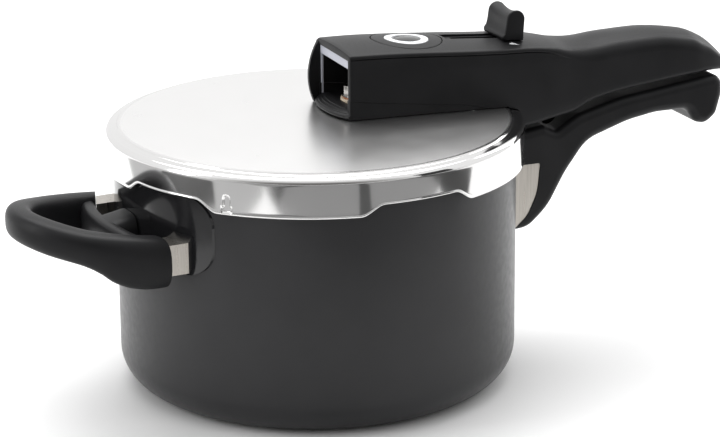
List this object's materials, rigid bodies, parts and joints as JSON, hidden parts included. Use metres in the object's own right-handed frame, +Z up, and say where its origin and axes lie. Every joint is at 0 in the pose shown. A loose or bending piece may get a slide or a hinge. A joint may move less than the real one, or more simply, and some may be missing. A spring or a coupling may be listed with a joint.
{
  "type": "stovetop pressure cooker",
  "caption": "Enamelled pressure cooker with a bayonet steel lid, a long two-part handle with a release slider, a pressure indicator and a loop side handle.",
  "frame": {"origin": "centre of the pot's base, on the surface it stands on", "axes": "+Z up; +X along the long handles; the side handle is on -X"},
  "size_m": [0.4362, 0.2336, 0.1991],
  "materials": {
    "enamel": "glossy dark enamel with a fine ripple",
    "polished_steel": "mirror polished stainless steel",
    "brushed_steel": "satin brushed stainless steel",
    "phenolic": "matte black phenolic moulding",
    "gloss_black": "glossy black heat-resistant plastic",
    "frame_grey": "pale grey plastic",
    "white_mark": "white plastic",
    "silicone": "grey silicone",
    "seal_orange": "orange-brown silicone",
    "cream_plastic": "cream valve plastic",
    "bright_steel": "bright turned steel"
  },
  "bodies": {
    "pot": {"pot_body": "enamel", "pot_handle": "phenolic", "pot_handle_bracket": "bright_steel", "pot_handle_flame_guard": "brushed_steel", "pot_handle_screw": "bright_steel", "side_handle": "phenolic", "side_handle_wall_plate": "gloss_black", "side_handle_brackets": "bright_steel", "side_handle_flame_guards": "brushed_steel", "side_handle_screws": "bright_steel"},
    "lid": {"lid_shell": "polished_steel", "lid_gasket": "silicone", "lid_handle_shell": "phenolic", "lid_handle_base": "phenolic", "lid_handle_screws": "bright_steel", "outlet_frame": "frame_grey", "valve_body": "bright_steel", "valve_collar": "cream_plastic", "valve_seal_ring": "seal_orange", "valve_washer": "bright_steel", "valve_nut": "bright_steel", "valve_spring": "bright_steel", "indicator_valve_body": "bright_steel", "indicator_nut": "bright_steel", "indicator_spring": "bright_steel", "indicator_disc": "phenolic", "indicator_ring": "white_mark", "detent_ball": "bright_steel", "detent_spring": "bright_steel", "lock_bolt_spring": "bright_steel"},
    "slider": {"slider_knob": "phenolic", "slider_bar": "phenolic", "slider_screw": "bright_steel"},
    "bolt": {"lock_bolt": "bright_steel"},
    "valve": {"valve_plug": "cream_plastic"},
    "indicator": {"indicator_pin": "gloss_black"}
  },
  "joints": [
    {"name": "lid_turn", "type": "hinge", "parent": "pot", "child": "lid", "pos_m": [0, 0, 0.141], "axis": [0, 0, 1], "range_deg": [0, 36]},
    {"name": "slider_travel", "type": "slide", "parent": "lid", "child": "slider", "axis": [-0.9973, 0, 0.0732], "range_m": [0, 0.028]},
    {"name": "lock_bolt_drop", "type": "slide", "parent": "lid", "child": "bolt", "axis": [0, 0, -1], "range_m": [0, 0.009], "deforming": ["lock_bolt_spring"]},
    {"name": "valve_lift", "type": "slide", "parent": "lid", "child": "valve", "axis": [0, 0, 1], "range_m": [0, 0.003], "stiffness_N_per_m": 1200, "deforming": ["valve_spring"]},
    {"name": "indicator_rise", "type": "slide", "parent": "lid", "child": "indicator", "axis": [0, 0, 1], "range_m": [0, 0.008], "stiffness_N_per_m": 300, "deforming": ["indicator_spring"]}
  ],
  "couplings": [
    {"joint": "lock_bolt_drop", "follows": "slider_travel", "ratio": 0.32143}
  ]
}
